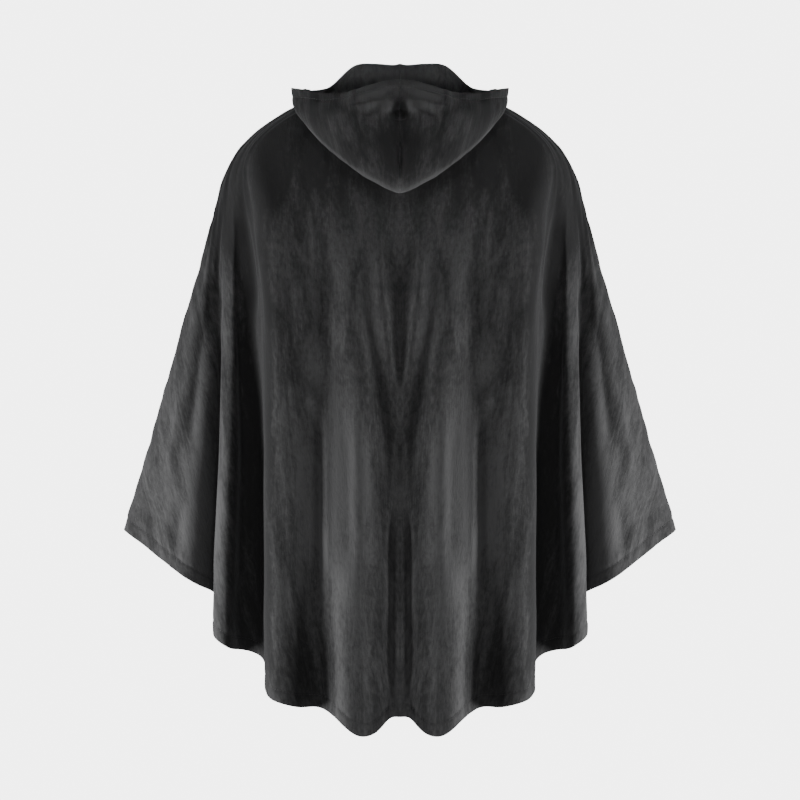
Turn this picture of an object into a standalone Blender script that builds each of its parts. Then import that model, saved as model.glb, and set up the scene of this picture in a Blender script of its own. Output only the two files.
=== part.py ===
"""Hooded cloak with batwing sides, filled out as worn. Metres, +Z up, the garment's back towards +Y.

The origin is the centre of the neck base, where the wearer's shoulders hold the cloak. The back and
the two fronts are read from one smooth surface: every row of the fold tables is one line of the cloth
that runs from the neckline down to the hem, and seven levels of the body hold those lines apart.
The hood is lofted the same way, over ribs that run from the neck seam round to the face edge.
"""

import math
from collections import namedtuple

import bmesh
import bpy
import numpy as np
from mathutils import Vector
from mathutils.bvhtree import BVHTree

MM = 0.001
WALL = 2.0 * MM  # velvet with its pile
SEAM_GAP = 0.3 * MM  # between two pieces that are sewn together
ROW_COUNT = 14  # rows of faces from the neckline to the hem
ROW_CROWDING = 0.055  # how far the rows shift towards the neckline and the hem
SMOOTH_ANGLE = math.radians(50)
BACK_COLUMNS = 84
FRONT_COLUMNS = 34
HOOD_COLUMNS = 18
HOOD_ROWS = (9, 6, 7)  # above the lower fold, round it, and up the outside
HOOD_CLEAR = 3.5 * MM  # between the hood's lower layer and the cloth that it lies on
HOOD_CLEAR_FROM = 0.15  # the share of a rib by which it has risen to that height
SEAT_OUT = 1.2  # millimetres from the neckline's edge out to the hood's seam
SEAT_UP = 0.7  # and up to it

# The body's levels, as shares of the way from the neckline down to the hem.
LEVELS = (0.0, 0.07, 0.17, 0.28, 0.58, 0.8, 1.0)

# The plain rings above the folds, in millimetres: where the ring crosses the shoulder seam (half its
# width and height), the centre of the back, the centre of the front, and how square the back is (1
# is an ellipse, less is squarer).
Ring = namedtuple("Ring", "seam_x seam_z back_y back_z front_y front_z bow")
NECKLINE = Ring(77, 8, 60, -12, -72, -72, 1.0)
YOKE = Ring(147, -24, 84, -34, -100, -112, 0.85)
SHOULDER = Ring(221, -81, 107, -96, -122, -170, 0.7)
PLAIN_RINGS = (NECKLINE, YOKE, SHOULDER)
SEAM_HIGH_Z = -151
SEAM_HEM_Z = -613

# One line of the cloth: where it starts round the neck (degrees from the centre back), then its place
# below the shoulder, at the middle and at the hem, in millimetres on the wearer's left side.
Fold = namedtuple("Fold", "turn high_x high_y high_z mid_x mid_y low_x low_y hem_x hem_y hem_z")

BACK_FOLDS = {
    "centre": Fold(0, 0, 118, -200, 0, 124, 0, 142, 0, 163, -859),
    "centre_valley": Fold(5, 20, 118, -200, 16, 124, 13, 143, 12, 163, -860),
    "lobe_inner": Fold(11, 43, 118, -197, 36, 128, 33, 147, 31, 170, -878),
    "lobe": Fold(17, 66, 117, -195, 57, 135, 55, 154, 54, 176, -884),
    "lobe_side": Fold(26, 101, 115, -191, 89, 123, 87, 138, 83, 163, -863),
    "hollow": Fold(31, 121, 112, -187, 109, 120, 107, 130, 110, 130, -849),
    "hollow_rise": Fold(36, 140, 108, -183, 134, 122, 132, 133, 131, 140, -848),
    "panel_crest": Fold(49, 175, 104, -176, 155, 127, 151, 139, 151, 157, -844),
    "panel_edge": Fold(57, 195, 89, -168, 177, 118, 175, 129, 174, 146, -836),
    "panel_under": Fold(62, 205, 66, -164, 187, 93, 184, 102, 182, 106, -815),
    "deep_valley": Fold(65, 217, 53, -161, 199, 64, 193, 69, 193, 65, -784),
    "deep_floor": Fold(69, 226, 49, -158, 220, 59, 218, 63, 219, 60, -776),
    "second_crest": Fold(73, 233, 43, -157, 229, 75, 233, 92, 236, 96, -770),
    "second_edge": Fold(76, 238, 34, -155, 244, 66, 250, 82, 254, 84, -757),
    "second_under": Fold(79, 242, 28, -154, 244, 46, 246, 54, 250, 54, -732),
    "cuff_valley": Fold(82, 245, 23, -153, 251, 36, 251, 39, 254, 36, -703),
    "cuff_rise": Fold(85, 249, 17, -152, 265, 44, 268, 56, 276, 61, -688),
    "cuff_back": Fold(87, 252, 10, -151, 293, 34, 318, 42, 340, 40, -644),
}
ARM_FOLD = Fold(90, 252, 0, SEAM_HIGH_Z, 307, 0, 348, 0, 384, 0, SEAM_HEM_Z)
FRONT_FOLDS = {
    "cuff_front": Fold(93, 252, -10, -152, 293, -38, 316, -49, 336, -45, -641),
    "front_rise": Fold(96, 249, -19, -154, 268, -46, 275, -56, 282, -50, -672),
    "front_valley": Fold(100, 244, -28, -157, 246, -34, 246, -37, 250, -32, -702),
    "front_under": Fold(104, 239, -36, -161, 240, -48, 241, -56, 246, -54, -726),
    "front_edge": Fold(108, 233, -45, -165, 238, -68, 242, -84, 248, -88, -749),
    "front_crest": Fold(112, 225, -54, -170, 226, -80, 230, -98, 234, -104, -757),
    "bust_valley": Fold(118, 212, -66, -178, 200, -66, 200, -67, 202, -62, -768),
    "bust_floor": Fold(123, 199, -77, -184, 180, -70, 178, -69, 178, -66, -780),
    "bust_under": Fold(128, 184, -88, -190, 166, -94, 164, -102, 162, -108, -800),
    "bust_edge": Fold(134, 166, -100, -196, 162, -122, 167, -138, 162, -150, -820),
    "bust_crest": Fold(140, 149, -110, -203, 148, -136, 153, -155, 146, -170, -832),
    "front_hollow": Fold(149, 120, -121, -211, 112, -124, 116, -123, 108, -124, -828),
    "front_lobe": Fold(160, 80, -128, -219, 70, -146, 74, -163, 66, -182, -846),
    "front_dip": Fold(170, 40, -130, -224, 36, -136, 44, -142, 38, -150, -836),
    "opening": Fold(178, 4, -130, -228, 10, -134, 21, -144, 22, -158, -832),
}

# One rib of the hood: where it leaves the neckline (degrees from the centre back), then the points
# that it passes: over the roll round the neck, down along the back, in and out of the lower fold, up
# the outside and to the face edge.
Rib = namedtuple("Rib", "turn roll lay tuck fold belly edge")
HOOD_RIBS = (
    Rib(0, (0, 76, 30), (0, 103, -56), (0, 121, -149), (0, 136, -149), (0, 145, -68), (0, 128, 6)),
    Rib(18, (28, 75, 30), (26, 102, -51), (33, 121, -134), (34, 136, -134), (38, 150, -61), (28, 129, 2)),
    Rib(36, (60, 66, 30), (56, 96, -39), (69, 116, -112), (70, 131, -111), (74, 147, -51), (62, 124, -8)),
    Rib(54, (80, 50, 14), (90, 80, -21), (107, 101, -78), (109, 115, -76), (108, 126, -41), (99, 110, -11)),
    Rib(70, (93, 32, 3), (113, 57, -14), (133, 74, -48), (136, 87, -46), (134, 95, -25), (128, 88, -5)),
    Rib(84, (97, 12, 4), (118, 26, -7), (144, 45, -22), (147, 56, -19), (150, 61, -9), (151, 61, 0)),
    Rib(100, (92, -16, 6), (101, -12, 6), (111, -7, 4), (114, -6, 3), (123, -1, 0), (134, 4, -5)),
    Rib(122, (80, -50, -11), (85, -53, -14), (90, -56, -19), (92, -57, -20), (97, -60, -26), (102, -63, -33)),
    Rib(148, (46, -80, -44), (49, -84, -49), (51, -88, -55), (52, -89, -57), (55, -93, -62), (58, -98, -68)),
    Rib(178, (5, -82, -64), (5, -86, -69), (6, -89, -74), (6, -90, -76), (6, -94, -81), (7, -98, -87)),
)
RIB_KNOTS = (0.0, 0.13, 0.32, 0.52, 0.58, 0.78, 1.0)
FOLD_SHARES = (0.5, 0.62)  # the stretch of a rib that goes round the lower fold

# The hook and eye behind the front edges: wire lines, in millimetres, by place across (the wearer's
# left is +), down the front and in behind the cloth.
CLASP_SHARE = 0.035  # how far down the front edges the clasp sits
WIRE_RADIUS = 0.6
WIRE_POINTS = 26
EYE_WIRE = (
    (11, 3.2, 2.2), (7, 3.0, 1.6), (2, 2.6, 2.0), (-0.6, 1.6, 2.4), (-1.4, 0, 2.4),
    (-0.6, -1.6, 2.4), (2, -2.6, 2.0), (7, -3.0, 1.6), (11, -3.2, 2.2),
)
HOOK_WIRE = (
    (-11, 2.2, 2.2), (-7, 1.4, 1.6), (-3, 0.4, 1.0), (0.5, 0, 0.8), (1.9, 0, 1.4), (2.2, 0, 2.6),
    (1.2, 0, 3.9), (-1.0, 0, 4.2), (-4, 0, 4.0),
)

Finish = namedtuple("Finish", "colour roughness metallic")
VELVET = Finish((0.018, 0.018, 0.020), 0.85, 0.0)
BLACK_METAL = Finish((0.030, 0.030, 0.032), 0.38, 1.0)


def clear_scene():
    for thing in list(bpy.data.objects):
        bpy.data.objects.remove(thing, do_unlink=True)


def smooth_curve(knots, values):
    """The natural cubic spline through values, one for each knot, as a function of the parameter."""
    knots = np.asarray(knots, float)
    values = np.asarray(values, float)
    steps = np.diff(knots)
    slopes = np.diff(values, axis=0) / steps.reshape((-1,) + (1,) * (values.ndim - 1))
    system = np.eye(len(knots))
    bends = np.zeros_like(values)
    for row in range(1, len(knots) - 1):
        system[row, row - 1] = steps[row - 1]
        system[row, row] = 2 * (steps[row - 1] + steps[row])
        system[row, row + 1] = steps[row]
        bends[row] = 6 * (slopes[row] - slopes[row - 1])
    bends = np.linalg.solve(system, bends.reshape(len(knots), -1)).reshape(values.shape)

    def curve(at):
        at = np.atleast_1d(np.asarray(at, float))
        left = np.clip(np.searchsorted(knots, at, side="right") - 1, 0, len(steps) - 1)
        shape = (-1,) + (1,) * (values.ndim - 1)
        step = steps[left].reshape(shape)
        near = (at - knots[left]).reshape(shape)
        far = step - near
        return (
            (bends[left] * far**3 + bends[left + 1] * near**3) / (6 * step)
            + (values[left] / step - bends[left] * step / 6) * far
            + (values[left + 1] / step - bends[left + 1] * step / 6) * near
        )

    return curve


def on_ring(ring, turn):
    """A point of a plain ring, turn degrees round from the centre back."""
    along = math.cos(math.radians(turn))
    bow = ring.bow if along > 0 else 1.0
    depth, low = (ring.back_y, ring.back_z) if along > 0 else (ring.front_y, ring.front_z)
    across = abs(math.sin(math.radians(turn))) ** bow
    side = math.copysign(ring.seam_x, turn)
    return side * across, depth * abs(along) ** bow, low + (ring.seam_z - low) * across**2


def fold_line(fold):
    """The points of one fold line at the seven levels."""
    high, mid = (fold.high_x, fold.high_y), (fold.mid_x, fold.mid_y)
    low, hem = (fold.low_x, fold.low_y), (fold.hem_x, fold.hem_y)
    heights = np.interp(LEVELS[3:], (LEVELS[3], LEVELS[-1]), (fold.high_z, fold.hem_z))
    hanging = [(x, y, z) for (x, y), z in zip((high, mid, low, hem), heights)]
    return [on_ring(ring, fold.turn) for ring in PLAIN_RINGS] + hanging


def body_lines():
    """All fold lines from the left front edge round the back to the right one, and the arm folds' rows."""
    half = list(BACK_FOLDS.values()) + [ARM_FOLD] + list(FRONT_FOLDS.values())
    lines = np.array([fold_line(fold) for fold in half]) * MM
    mirrored = lines[:0:-1] * np.array([-1, 1, 1])
    arm = len(BACK_FOLDS)
    count = len(half)
    return np.concatenate([mirrored, lines]), count - 1 - arm, count - 1 + arm


def normals_of(points):
    """Unit normals of a grid of points, worked out from its neighbours."""
    normals = np.cross(np.gradient(points, axis=1), np.gradient(points, axis=0))
    return normals / np.linalg.norm(normals, axis=2, keepdims=True)


class Body:
    """The cloth of the back and fronts as one surface, read by place across and share of the way down."""

    def __init__(self):
        lines, self.right_seam, self.left_seam = body_lines()
        spans = np.linalg.norm(np.diff(lines[:, 3:], axis=0), axis=2).mean(axis=1)
        self.places = np.concatenate([[0], np.cumsum(spans)])
        self.down_curve = smooth_curve(LEVELS, lines.transpose(1, 0, 2))

    def points(self, across, down):
        rows = self.down_curve(down)
        return smooth_curve(self.places, rows.transpose(1, 0, 2))(across)

    def grid(self, across, down):
        """Outer points and unit normals of the surface, by central differences."""
        step = 0.5 * MM
        ahead = self.points(np.asarray(across) + step, down)
        behind = self.points(np.asarray(across) - step, down)
        share = 1e-3
        lower = self.points(across, np.asarray(down) + share)
        upper = self.points(across, np.asarray(down) - share)
        normals = np.cross(lower - upper, ahead - behind)
        normals /= np.linalg.norm(normals, axis=2, keepdims=True)
        sideways = ahead - behind
        sideways /= np.linalg.norm(sideways, axis=2, keepdims=True)
        return self.points(across, down), normals, sideways


def walled_mesh(name, outer, inner):
    """A closed wall between two grids of points of the same size."""
    columns, rows = outer.shape[:2]
    bm = bmesh.new()
    sides = [
        [[bm.verts.new(grid[i, j]) for j in range(rows)] for i in range(columns)]
        for grid in (outer, inner)
    ]
    out, back = sides
    for i in range(columns - 1):
        for j in range(rows - 1):
            bm.faces.new((out[i][j], out[i][j + 1], out[i + 1][j + 1], out[i + 1][j]))
            bm.faces.new((back[i][j], back[i + 1][j], back[i + 1][j + 1], back[i][j + 1]))
    rim = [(i, 0) for i in range(columns)]
    rim += [(columns - 1, j) for j in range(1, rows)]
    rim += [(i, rows - 1) for i in range(columns - 2, -1, -1)]
    rim += [(0, j) for j in range(rows - 2, 0, -1)]
    for (i, j), (k, l) in zip(rim, rim[1:] + rim[:1]):
        bm.faces.new((out[i][j], out[k][l], back[k][l], back[i][j]))
    bmesh.ops.recalc_face_normals(bm, faces=bm.faces)
    mesh = bpy.data.meshes.new(name)
    bm.to_mesh(mesh)
    bm.free()
    mesh.shade_smooth()
    mesh.set_sharp_from_angle(angle=SMOOTH_ANGLE)
    return mesh


def make_material(name, finish):
    material = bpy.data.materials.new(name)
    material.use_nodes = True
    shader = material.node_tree.nodes["Principled BSDF"]
    shader.inputs["Base Color"].default_value = (*finish.colour, 1)
    shader.inputs["Roughness"].default_value = finish.roughness
    shader.inputs["Metallic"].default_value = finish.metallic
    return material


def add_object(name, mesh, finish):
    thing = bpy.data.objects.new(name, mesh)
    mesh.materials.append(make_material(name + "_finish", finish))
    bpy.context.collection.objects.link(thing)
    return thing


def rows_down():
    """Shares of the way down, closer together over the shoulder and at the hem."""
    even = np.linspace(0, 1, ROW_COUNT + 1)
    return even - ROW_CROWDING * np.sin(2 * math.pi * even)


def add_panel(body, name, start, end, columns, seams):
    """One body panel between two places across, drawn in by half the seam gap at its seams."""
    across = np.linspace(start, end, columns + 1)
    outer, normals, sideways = body.grid(across, rows_down())
    if "start" in seams:
        outer[0] += sideways[0] * SEAM_GAP / 2
    if "end" in seams:
        outer[-1] -= sideways[-1] * SEAM_GAP / 2
    add_object(name, walled_mesh(name, outer, outer - normals * WALL), VELVET)


def add_body(body):
    right, left = body.places[body.right_seam], body.places[body.left_seam]
    add_panel(body, "front_right", body.places[0], right, FRONT_COLUMNS, ("end",))
    add_panel(body, "back", right, left, BACK_COLUMNS, ("start", "end"))
    add_panel(body, "front_left", left, body.places[-1], FRONT_COLUMNS, ("start",))


def body_skin(body):
    """The body's outer surface as a search tree, for pieces that lie on it."""
    across = np.linspace(body.places[0], body.places[-1], 161)
    points = body.points(across, np.linspace(0, 0.5, 41))
    columns, rows = points.shape[:2]
    corners = [Vector(point) for point in points.reshape(-1, 3)]
    faces = [
        (i * rows + j, (i + 1) * rows + j, (i + 1) * rows + j + 1, i * rows + j + 1)
        for i in range(columns - 1)
        for j in range(rows - 1)
    ]
    return BVHTree.FromPolygons(corners, faces)


def lifted(points, shares, skin):
    """The hood's points, each moved out until its wall lies clear of the cloth below."""
    rested = points.copy()
    for j, share in enumerate(shares):
        clear = HOOD_CLEAR * min(1, share / HOOD_CLEAR_FROM)
        for i in range(len(points)):
            point = Vector(points[i, j])
            near, normal, _, _ = skin.find_nearest(point)
            height = (point - near).dot(normal)
            need = WALL + 2 * SEAM_GAP + clear
            if height < need:
                rested[i, j] += np.array(normal) * (need - height)
    return rested


def neck_seat(turn):
    """The point of the neck seam where the hood starts, just clear of the neckline's edge."""
    x, y, z = on_ring(NECKLINE, turn)
    outward = Vector((x, y, 0)).normalized() * SEAT_OUT
    return np.array([x + outward.x, y + outward.y, z + SEAT_UP]) * MM


def hood_surface(turns, shares):
    """The hood's left half: points at turns round the neckline and shares along the ribs."""
    rises = []
    for rib in HOOD_RIBS:
        points = np.array([rib.roll, rib.lay, rib.tuck, rib.fold, rib.belly, rib.edge]) * MM
        rises.append(np.vstack([np.zeros(3), points - neck_seat(rib.turn)]))
    along = smooth_curve(RIB_KNOTS, np.array(rises).transpose(1, 0, 2))(shares)
    across = smooth_curve([rib.turn for rib in HOOD_RIBS], along.transpose(1, 0, 2))(turns)
    return across + np.array([neck_seat(turn) for turn in turns])[:, None]


def rib_shares():
    """Shares along a rib, closer together round the lower fold."""
    stops = (0, *FOLD_SHARES, 1)
    stretches = [
        np.linspace(stops[k], stops[k + 1], HOOD_ROWS[k] + 1)[:-1] for k in range(len(HOOD_ROWS))
    ]
    return np.concatenate(stretches + [[1.0]])


def add_hood_half(name, side, skin):
    turns = np.linspace(0, HOOD_RIBS[-1].turn, HOOD_COLUMNS + 1)
    shares = rib_shares()
    outer = lifted(hood_surface(turns, shares), shares, skin)
    outer[0, :, 0] = 0
    normals = normals_of(outer)
    normals[0, :, 0] = 0
    normals /= np.linalg.norm(normals, axis=2, keepdims=True)
    inner = outer - normals * WALL
    flip = np.array([side, 1, 1])
    gap = np.array([side * SEAM_GAP / 2, 0, 0])
    outer, inner = outer * flip + gap, inner * flip + gap
    if side > 0:
        outer, inner = outer[::-1], inner[::-1]
    add_object(name, walled_mesh(name, outer, inner), VELVET)


def add_wire(name, body, line):
    """One bent wire of the clasp, sewn behind the front edges."""
    outer, normals, _ = body.grid(body.places[-1:], [CLASP_SHARE])
    seat = outer[0, 0] - normals[0, 0] * WALL
    inward = -Vector((0, *normals[0, 0, 1:])).normalized()
    downward = Vector((0, inward.z, -inward.y))
    line = np.array(line, float)
    lengths = np.linalg.norm(np.diff(line, axis=0), axis=1)
    knots = np.concatenate([[0], np.cumsum(lengths)])
    bent = smooth_curve(knots, line)(np.linspace(0, knots[-1], WIRE_POINTS)) * MM
    curve = bpy.data.curves.new(name, "CURVE")
    curve.dimensions = "3D"
    curve.bevel_depth = WIRE_RADIUS * MM
    curve.bevel_resolution = 1
    curve.use_fill_caps = True
    spline = curve.splines.new("POLY")
    spline.points.add(len(bent) - 1)
    for point, (across, down, behind) in zip(spline.points, bent):
        place = Vector((across, seat[1], seat[2])) + downward * down + inward * behind
        point.co = (*place, 1)
    add_object(name, curve, BLACK_METAL)


def main():
    clear_scene()
    body = Body()
    add_body(body)
    skin = body_skin(body)
    add_hood_half("hood_left", 1, skin)
    add_hood_half("hood_right", -1, skin)
    add_wire("eye", body, EYE_WIRE)
    add_wire("hook", body, HOOK_WIRE)


main()
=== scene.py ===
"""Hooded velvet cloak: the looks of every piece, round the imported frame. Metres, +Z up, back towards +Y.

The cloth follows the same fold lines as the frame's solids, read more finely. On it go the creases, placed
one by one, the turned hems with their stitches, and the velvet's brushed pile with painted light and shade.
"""

import math
from collections import namedtuple
from functools import cache

import bmesh
import bpy
import numpy as np
from bpy.props import FloatProperty, FloatVectorProperty, PointerProperty
from bpy.types import Operator, Panel, PropertyGroup
from mathutils import Matrix, Vector, noise
from mathutils.bvhtree import BVHTree


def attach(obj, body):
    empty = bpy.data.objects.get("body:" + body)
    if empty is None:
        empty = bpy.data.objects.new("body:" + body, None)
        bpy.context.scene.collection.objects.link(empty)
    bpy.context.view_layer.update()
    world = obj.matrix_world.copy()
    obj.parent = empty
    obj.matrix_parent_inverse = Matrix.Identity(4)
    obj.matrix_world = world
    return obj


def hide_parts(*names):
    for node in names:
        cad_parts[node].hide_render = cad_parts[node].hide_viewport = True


bl_info = {
    "name": "Hooded Velvet Cloak",
    "version": (1, 0, 0),
    "blender": (4, 5, 0),
    "location": "View3D > Sidebar > Cloak",
    "description": "Builds the velvet, hems, stitches and clasp of a hooded cloak on its frame",
    "category": "Add Mesh",
}

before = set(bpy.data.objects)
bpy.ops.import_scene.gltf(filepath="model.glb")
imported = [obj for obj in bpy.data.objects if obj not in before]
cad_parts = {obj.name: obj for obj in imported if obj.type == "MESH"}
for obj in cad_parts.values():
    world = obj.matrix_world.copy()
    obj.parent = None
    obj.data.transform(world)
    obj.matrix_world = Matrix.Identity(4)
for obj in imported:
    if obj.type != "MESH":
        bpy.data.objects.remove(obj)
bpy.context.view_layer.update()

MM = 0.001


def table(kind, **rows):
    """Rows of one kind, by their names."""
    return {name: kind(*row) for name, row in rows.items()}


# The body's levels, as shares of the way from the neckline down to the hem.
LEVELS = (0.0, 0.07, 0.17, 0.28, 0.58, 0.8, 1.0)

# The plain rings above the folds, in millimetres: where the ring crosses the shoulder seam (half its
# width and height), the centre of the back, the centre of the front, and how square the back is (1
# is an ellipse, less is squarer).
Ring = namedtuple("Ring", "seam_x seam_z back_y back_z front_y front_z bow")
NECKLINE = Ring(77, 8, 60, -12, -72, -72, 1.0)
YOKE = Ring(147, -24, 84, -34, -100, -112, 0.85)
SHOULDER = Ring(221, -81, 107, -96, -122, -170, 0.7)
PLAIN_RINGS = (NECKLINE, YOKE, SHOULDER)

# One line of the cloth: where it starts round the neck (degrees from the centre back), then its place
# below the shoulder, at the middle and at the hem, in millimetres on the wearer's left side.
Fold = namedtuple("Fold", "turn high_x high_y high_z mid_x mid_y low_x low_y hem_x hem_y hem_z")
BACK_FOLDS = table(
    Fold,
    centre=(0, 0, 118, -200, 0, 124, 0, 142, 0, 163, -859),
    centre_valley=(5, 20, 118, -200, 16, 124, 13, 143, 12, 163, -860),
    lobe_inner=(11, 43, 118, -197, 36, 128, 33, 147, 31, 170, -878),
    lobe=(17, 66, 117, -195, 57, 135, 55, 154, 54, 176, -884),
    lobe_side=(26, 101, 115, -191, 89, 123, 87, 138, 83, 163, -863),
    hollow=(31, 121, 112, -187, 109, 120, 107, 130, 110, 130, -849),
    hollow_rise=(36, 140, 108, -183, 134, 122, 132, 133, 131, 140, -848),
    panel_crest=(49, 175, 104, -176, 155, 127, 151, 139, 151, 157, -844),
    panel_edge=(57, 195, 89, -168, 177, 118, 175, 129, 174, 146, -836),
    panel_under=(62, 205, 66, -164, 187, 93, 184, 102, 182, 106, -815),
    deep_valley=(65, 217, 53, -161, 199, 64, 193, 69, 193, 65, -784),
    deep_floor=(69, 226, 49, -158, 220, 59, 218, 63, 219, 60, -776),
    second_crest=(73, 233, 43, -157, 229, 75, 233, 92, 236, 96, -770),
    second_edge=(76, 238, 34, -155, 244, 66, 250, 82, 254, 84, -757),
    second_under=(79, 242, 28, -154, 244, 46, 246, 54, 250, 54, -732),
    cuff_valley=(82, 245, 23, -153, 251, 36, 251, 39, 254, 36, -703),
    cuff_rise=(85, 249, 17, -152, 265, 44, 268, 56, 276, 61, -688),
    cuff_back=(87, 252, 10, -151, 293, 34, 318, 42, 340, 40, -644),
)
ARM_FOLD = Fold(90, 252, 0, -151, 307, 0, 348, 0, 384, 0, -613)
FRONT_FOLDS = table(
    Fold,
    cuff_front=(93, 252, -10, -152, 293, -38, 316, -49, 336, -45, -641),
    front_rise=(96, 249, -19, -154, 268, -46, 275, -56, 282, -50, -672),
    front_valley=(100, 244, -28, -157, 246, -34, 246, -37, 250, -32, -702),
    front_under=(104, 239, -36, -161, 240, -48, 241, -56, 246, -54, -726),
    front_edge=(108, 233, -45, -165, 238, -68, 242, -84, 248, -88, -749),
    front_crest=(112, 225, -54, -170, 226, -80, 230, -98, 234, -104, -757),
    bust_valley=(118, 212, -66, -178, 200, -66, 200, -67, 202, -62, -768),
    bust_floor=(123, 199, -77, -184, 180, -70, 178, -69, 178, -66, -780),
    bust_under=(128, 184, -88, -190, 166, -94, 164, -102, 162, -108, -800),
    bust_edge=(134, 166, -100, -196, 162, -122, 167, -138, 162, -150, -820),
    bust_crest=(140, 149, -110, -203, 148, -136, 153, -155, 146, -170, -832),
    front_hollow=(149, 120, -121, -211, 112, -124, 116, -123, 108, -124, -828),
    front_lobe=(160, 80, -128, -219, 70, -146, 74, -163, 66, -182, -846),
    front_dip=(170, 40, -130, -224, 36, -136, 44, -142, 38, -150, -836),
    opening=(178, 4, -130, -228, 10, -134, 21, -144, 22, -158, -832),
)

# One rib of the hood: where it leaves the neckline (degrees from the centre back), then the points
# that it passes: over the roll round the neck, down along the back, in and out of the lower fold, up
# the outside and to the face edge.
Rib = namedtuple("Rib", "turn roll lay tuck fold belly edge")
HOOD_RIBS = (
    Rib(0, (0, 76, 30), (0, 103, -56), (0, 121, -149), (0, 136, -149), (0, 145, -68), (0, 128, 6)),
    Rib(18, (28, 75, 30), (26, 102, -51), (33, 121, -134), (34, 136, -134), (38, 150, -61), (28, 129, 2)),
    Rib(36, (60, 66, 30), (56, 96, -39), (69, 116, -112), (70, 131, -111), (74, 147, -51), (62, 124, -8)),
    Rib(54, (80, 50, 14), (90, 80, -21), (107, 101, -78), (109, 115, -76), (108, 126, -41), (99, 110, -11)),
    Rib(70, (93, 32, 3), (113, 57, -14), (133, 74, -48), (136, 87, -46), (134, 95, -25), (128, 88, -5)),
    Rib(84, (97, 12, 4), (118, 26, -7), (144, 45, -22), (147, 56, -19), (150, 61, -9), (151, 61, 0)),
    Rib(100, (92, -16, 6), (101, -12, 6), (111, -7, 4), (114, -6, 3), (123, -1, 0), (134, 4, -5)),
    Rib(122, (80, -50, -11), (85, -53, -14), (90, -56, -19), (92, -57, -20), (97, -60, -26), (102, -63, -33)),
    Rib(148, (46, -80, -44), (49, -84, -49), (51, -88, -55), (52, -89, -57), (55, -93, -62), (58, -98, -68)),
    Rib(178, (5, -82, -64), (5, -86, -69), (6, -89, -74), (6, -90, -76), (6, -94, -81), (7, -98, -87)),
)
RIB_KNOTS = (0.0, 0.13, 0.32, 0.52, 0.58, 0.78, 1.0)
SEAT_OUT = 1.2  # millimetres from the neckline's edge out to the hood's seam
SEAT_UP = 0.7  # and up to it
WALL = 2.0 * MM  # the frame's cloth
HOOD_CLEAR = 3.5 * MM  # between the hood's lower layer and the cloth that it lies on
HOOD_CLEAR_FROM = 0.15  # the share of a rib by which it has risen to that height
SEAM_GAP = 0.3 * MM

# How finely each piece is read: columns across it and rows down it, hems not counted.
BACK_GRID = (296, 128)
FRONT_GRID = (112, 128)
HOOD_GRID = (110, 150)
GUIDES = 9  # columns that show where a panel's rows lie, before its own columns are placed

# A crease: its line on the cloth as seen from straight behind or in front (x, z in millimetres, on the
# wearer's left), its height (troughs are negative) and how far it reaches to its outer and inner side.
Crease = namedtuple("Crease", "line lift outer inner")
BACK_CREASES = table(
    Crease,
    v_ridge=(((31, -205), (24, -290), (14, -380), (4, -455)), 6, 8, 8),
    v_trough=(((50, -250), (39, -350), (24, -460), (8, -560)), -5, 10, 9),
    v_middle=(((0, -230), (0, -330), (0, -440)), -1.2, 9, 9),
    v_foot=(((0, -470), (0, -520), (0, -560)), -4, 8, 8),
    centre_ridge=(((0, -560), (0, -700), (0, -862)), 3, 5, 5),
    centre_side=(((10, -540), (10, -690), (10, -862)), -5, 6, 5),
    arch=(((158, -404), (128, -425), (104, -447)), 4, 8, 8),
    arch_edge=(((98, -430), (97, -540), (96, -700)), 3, 6, 16),
    arch_side=(((108, -420), (108, -540), (106, -760)), -4, 6, 5),
    lobe_line=(((74, -420), (70, -560), (68, -700)), -3, 12, 12),
    apex=(((205, -165), (196, -205), (185, -270), (177, -380)), 3, 9, 14),
    apex_side=(((222, -150), (207, -230), (199, -330)), -5, 11, 8),
    panel_line=(((160, -215), (152, -320), (150, -440)), -5, 9, 16),
    panel_low=(((158, -560), (154, -680), (152, -800)), -3, 10, 14),
    blade_ridge=(((74, -230), (72, -300), (70, -390)), 3, 12, 12),
    blade_trough=(((96, -220), (98, -300), (104, -380)), -2.5, 14, 12),
    blade_outer=(((128, -240), (132, -320), (136, -390)), 2.5, 14, 12),
    arm_streak=(((262, -275), (282, -400), (292, -520)), -5, 9, 11),
    arm_ridge=(((250, -300), (262, -420), (270, -560)), 4, 9, 9),
    arm_outer=(((292, -380), (312, -480), (322, -560)), 3, 10, 10),
    arm_hem=(((300, -560), (308, -610), (312, -650)), -3, 9, 9),
    wrist=(((372, -580), (352, -588), (336, -606)), -2.5, 6, 6),
    wrist_low=(((330, -600), (318, -628), (314, -650)), 2.5, 7, 7),
)
FRONT_CREASES = table(
    Crease,
    bust_ridge=(((70, -250), (62, -360), (58, -480)), 4, 11, 11),
    bust_trough=(((98, -240), (94, -360), (92, -500)), -4, 12, 12),
    edge_trough=(((36, -300), (34, -420), (40, -560)), -3, 9, 9),
    side_ridge=(((150, -200), (152, -320), (152, -450)), 4, 10, 13),
    side_trough=(((178, -190), (182, -300), (178, -420)), -4, 11, 10),
    lobe_low=(((92, -560), (88, -680), (86, -820)), -4, 10, 10),
    arm_streak=(((258, -280), (280, -410), (296, -530)), -4, 9, 10),
    arm_ridge=(((240, -260), (258, -400), (268, -560)), 4, 9, 9),
    arm_outer=(((296, -390), (314, -480), (326, -570)), 3, 10, 10),
    wrist=(((368, -582), (348, -596), (334, -612)), -2.5, 6, 6),
)
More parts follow.
